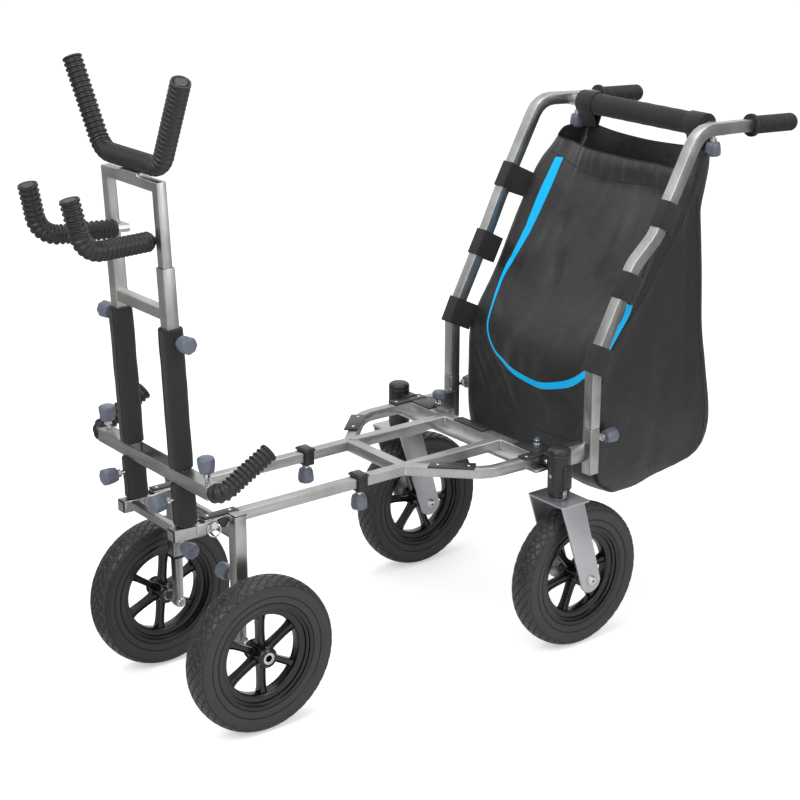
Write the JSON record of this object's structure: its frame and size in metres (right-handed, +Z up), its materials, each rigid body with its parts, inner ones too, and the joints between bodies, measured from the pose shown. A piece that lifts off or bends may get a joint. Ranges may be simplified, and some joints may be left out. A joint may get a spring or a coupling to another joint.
{
  "type": "fishing trolley",
  "caption": "Wheeled trolley of square steel tube with front wheels on height-adjustable legs, rear casters, a folding mast with ribbed rod rests and a bag strapped to its push handles.",
  "frame": {"origin": "on the ground, at the middle of the underside of the whole trolley's bounding box, which is also on its middle plane", "axes": "+X towards the trolley's left side as seen in the picture, +Y from the mast towards the push handles, +Z up"},
  "size_m": [0.6266, 1.6046, 1.2141],
  "materials": {
    "steel": "drawn tube, satin with bright edges",
    "zinc": "bright zinc plate",
    "tyre": "matte tread rubber",
    "gloss_plastic": "gloss black moulding",
    "black_plastic": "fine-grained black moulding",
    "knob_plastic": "grey-blue moulding",
    "grip_rubber": "ribbed matte rubber",
    "foam": "closed-cell foam, matte",
    "hose_plastic": "ribbed soft plastic, half gloss",
    "bag_fabric": "coated woven nylon with blue piping"
  },
  "bodies": {
    "frame": {"deck_frame": "steel", "front_pad_left": "black_plastic", "front_pad_right": "black_plastic", "caster_housing_left": "black_plastic", "caster_housing_right": "black_plastic", "mast_pivot_bolt_left": "black_plastic", "mast_pivot_bolt_right": "black_plastic"},
    "mast_foot": {"mast_foot": "steel"},
    "mast": {"mast_posts": "steel", "lower_sleeve_left": "foam", "lower_sleeve_right": "foam", "upper_sleeve_left": "foam", "upper_sleeve_right": "foam", "cross_rest": "steel"},
    "inner_mast": {"inner_mast_frame": "steel", "top_rest_rod": "steel", "top_rest_hose": "hose_plastic", "hook_hose_left": "hose_plastic", "hook_hose_right": "hose_plastic"},
    "handle": {"handle_frame": "steel", "hand_grip_left": "grip_rubber", "hand_grip_right": "grip_rubber", "cross_handle_foam": "foam", "bag": "bag_fabric"},
    "front_leg_left": {"front_leg_left": "steel"},
    "front_wheel_left": {"tyre_front_left": "tyre", "rim_front_left": "gloss_plastic"},
    "caster_left": {"caster_fork_left": "zinc", "rear_axle_bolt_left": "zinc"},
    "rear_wheel_left": {"tyre_rear_left": "tyre", "rim_rear_left": "gloss_plastic"},
    "mast_lock_pin_left": {"mast_lock_pin_left": "zinc"},
    "rest_arm_left": {"rest_arm_rod_left": "steel", "rest_arm_hose_left": "hose_plastic"},
    "rail_clamp_left": {"rail_clamp_left": "black_plastic"},
    "leg_knob_left": {"leg_knob_left": "knob_plastic"},
    "lower_mast_knob_left": {"lower_mast_knob_left": "knob_plastic"},
    "upper_mast_knob_left": {"upper_mast_knob_left": "knob_plastic"},
    "rest_arm_knob_left": {"rest_arm_knob_left": "knob_plastic"},
    "rail_clamp_knob_left": {"rail_clamp_knob_left": "knob_plastic"},
    "handle_knob_left": {"handle_knob_left": "knob_plastic"},
    "cross_handle_knob_left": {"cross_handle_knob_left": "knob_plastic"},
    "front_leg_right": {"front_leg_right": "steel"},
    "front_wheel_right": {"tyre_front_right": "tyre", "rim_front_right": "gloss_plastic"},
    "caster_right": {"caster_fork_right": "zinc", "rear_axle_bolt_right": "zinc"},
    "rear_wheel_right": {"tyre_rear_right": "tyre", "rim_rear_right": "gloss_plastic"},
    "mast_lock_pin_right": {"mast_lock_pin_right": "zinc"},
    "rest_arm_right": {"rest_arm_rod_right": "steel", "rest_arm_hose_right": "hose_plastic"},
    "rail_clamp_right": {"rail_clamp_right": "black_plastic"},
    "leg_knob_right": {"leg_knob_right": "knob_plastic"},
    "lower_mast_knob_right": {"lower_mast_knob_right": "knob_plastic"},
    "upper_mast_knob_right": {"upper_mast_knob_right": "knob_plastic"},
    "rest_arm_knob_right": {"rest_arm_knob_right": "knob_plastic"},
    "rail_clamp_knob_right": {"rail_clamp_knob_right": "knob_plastic"},
    "handle_knob_right": {"handle_knob_right": "knob_plastic"},
    "cross_handle_knob_right": {"cross_handle_knob_right": "knob_plastic"}
  },
  "joints": [
    {"name": "mast_fold", "type": "hinge", "parent": "frame", "child": "mast_foot", "pos_m": [0, -0.53077, 0.39175], "axis": [-1, 0, 0], "range_deg": [0, 70]},
    {"name": "mast_lift", "type": "slide", "parent": "mast_foot", "child": "mast", "axis": [0, -0.042, 0.9991], "range_m": [0, 0.04]},
    {"name": "inner_mast_slide", "type": "slide", "parent": "mast", "child": "inner_mast", "axis": [0, -0.042, 0.9991], "range_m": [-0.02, 0.12]},
    {"name": "handle_lift", "type": "slide", "parent": "frame", "child": "handle", "axis": [0, 0, 1], "range_m": [0, 0.06]},
    {"name": "front_leg_slide_left", "type": "slide", "parent": "frame", "child": "front_leg_left", "axis": [0, 0, 1], "range_m": [-0.05, 0.05]},
    {"name": "front_wheel_spin_left", "type": "hinge", "parent": "front_leg_left", "child": "front_wheel_left", "pos_m": [0.176, -0.50427, 0.15], "axis": [1, 0, 0], "continuous": true},
    {"name": "caster_swivel_left", "type": "hinge", "parent": "frame", "child": "caster_left", "pos_m": [0.257, 0.14773, 0.35], "axis": [0, 0, 1], "continuous": true},
    {"name": "rear_wheel_spin_left", "type": "hinge", "parent": "caster_left", "child": "rear_wheel_left", "pos_m": [0.257, 0.19573, 0.15], "axis": [1, 0, 0], "continuous": true},
    {"name": "mast_lock_pin_pull_left", "type": "slide", "parent": "mast_foot", "child": "mast_lock_pin_left", "axis": [1, 0, 0], "range_m": [0, 0.03]},
    {"name": "rest_arm_turn_left", "type": "hinge", "parent": "mast", "child": "rest_arm_left", "pos_m": [0.193, -0.60185, 0.49421], "axis": [1, 0, 0], "range_deg": [-70, 70]},
    {"name": "rail_clamp_slide_left", "type": "slide", "parent": "frame", "child": "rail_clamp_left", "axis": [0, 1, 0], "range_m": [-0.15, 0.08]},
    {"name": "leg_knob_left_turn", "type": "hinge", "parent": "frame", "child": "leg_knob_left", "pos_m": [0.09845, -0.50427, 0.273], "axis": [-1, 0, 0], "range_deg": [0, 360]},
    {"name": "lower_mast_knob_left_turn", "type": "hinge", "parent": "mast", "child": "lower_mast_knob_left", "pos_m": [0.0865, -0.61251, 0.45273], "axis": [0, -0.9991, -0.042], "range_deg": [0, 360]},
    {"name": "upper_mast_knob_left_turn", "type": "hinge", "parent": "mast", "child": "upper_mast_knob_left", "pos_m": [0.0989, -0.6126, 0.74999], "axis": [1, 0, 0], "range_deg": [0, 360]},
    {"name": "rest_arm_knob_left_turn", "type": "hinge", "parent": "mast", "child": "rest_arm_knob_left", "pos_m": [0.174, -0.6024, 0.5075], "axis": [0, -0.042, 0.9991], "range_deg": [0, 360]},
    {"name": "rail_clamp_knob_left_turn", "type": "hinge", "parent": "rail_clamp_left", "child": "rail_clamp_knob_left", "pos_m": [0.089, -0.21477, 0.3737], "axis": [0, 0, -1], "range_deg": [0, 360]},
    {"name": "handle_knob_left_turn", "type": "hinge", "parent": "frame", "child": "handle_knob_left", "pos_m": [0.221, 0.27728, 0.406], "axis": [0, 1, 0], "range_deg": [0, 360]},
    {"name": "cross_handle_knob_left_turn", "type": "hinge", "parent": "handle", "child": "cross_handle_knob_left", "pos_m": [0.201, 0.59373, 0.9832], "axis": [0, 0, -1], "range_deg": [0, 360]},
    {"name": "front_leg_slide_right", "type": "slide", "parent": "frame", "child": "front_leg_right", "axis": [0, 0, 1], "range_m": [-0.05, 0.05]},
    {"name": "front_wheel_spin_right", "type": "hinge", "parent": "front_leg_right", "child": "front_wheel_right", "pos_m": [-0.176, -0.50427, 0.15], "axis": [1, 0, 0], "continuous": true},
    {"name": "caster_swivel_right", "type": "hinge", "parent": "frame", "child": "caster_right", "pos_m": [-0.257, 0.14773, 0.35], "axis": [0, 0, 1], "continuous": true},
    {"name": "rear_wheel_spin_right", "type": "hinge", "parent": "caster_right", "child": "rear_wheel_right", "pos_m": [-0.257, 0.19573, 0.15], "axis": [1, 0, 0], "continuous": true},
    {"name": "mast_lock_pin_pull_right", "type": "slide", "parent": "mast_foot", "child": "mast_lock_pin_right", "axis": [-1, 0, 0], "range_m": [0, 0.03]},
    {"name": "rest_arm_turn_right", "type": "hinge", "parent": "mast", "child": "rest_arm_right", "pos_m": [-0.193, -0.60185, 0.49421], "axis": [1, 0, 0], "range_deg": [-70, 70]},
    {"name": "rail_clamp_slide_right", "type": "slide", "parent": "frame", "child": "rail_clamp_right", "axis": [0, 1, 0], "range_m": [-0.15, 0.08]},
    {"name": "leg_knob_right_turn", "type": "hinge", "parent": "frame", "child": "leg_knob_right", "pos_m": [-0.09845, -0.50427, 0.273], "axis": [1, 0, 0], "range_deg": [0, 360]},
    {"name": "lower_mast_knob_right_turn", "type": "hinge", "parent": "mast", "child": "lower_mast_knob_right", "pos_m": [-0.0865, -0.61251, 0.45273], "axis": [0, -0.9991, -0.042], "range_deg": [0, 360]},
    {"name": "upper_mast_knob_right_turn", "type": "hinge", "parent": "mast", "child": "upper_mast_knob_right", "pos_m": [-0.0989, -0.6126, 0.74999], "axis": [-1, 0, 0], "range_deg": [0, 360]},
    {"name": "rest_arm_knob_right_turn", "type": "hinge", "parent": "mast", "child": "rest_arm_knob_right", "pos_m": [-0.174, -0.6024, 0.5075], "axis": [0, -0.042, 0.9991], "range_deg": [0, 360]},
    {"name": "rail_clamp_knob_right_turn", "type": "hinge", "parent": "rail_clamp_right", "child": "rail_clamp_knob_right", "pos_m": [-0.089, -0.21477, 0.3737], "axis": [0, 0, -1], "range_deg": [0, 360]},
    {"name": "handle_knob_right_turn", "type": "hinge", "parent": "frame", "child": "handle_knob_right", "pos_m": [-0.221, 0.27728, 0.406], "axis": [0, 1, 0], "range_deg": [0, 360]},
    {"name": "cross_handle_knob_right_turn", "type": "hinge", "parent": "handle", "child": "cross_handle_knob_right", "pos_m": [-0.201, 0.59373, 0.9832], "axis": [0, 0, -1], "range_deg": [0, 360]}
  ]
}
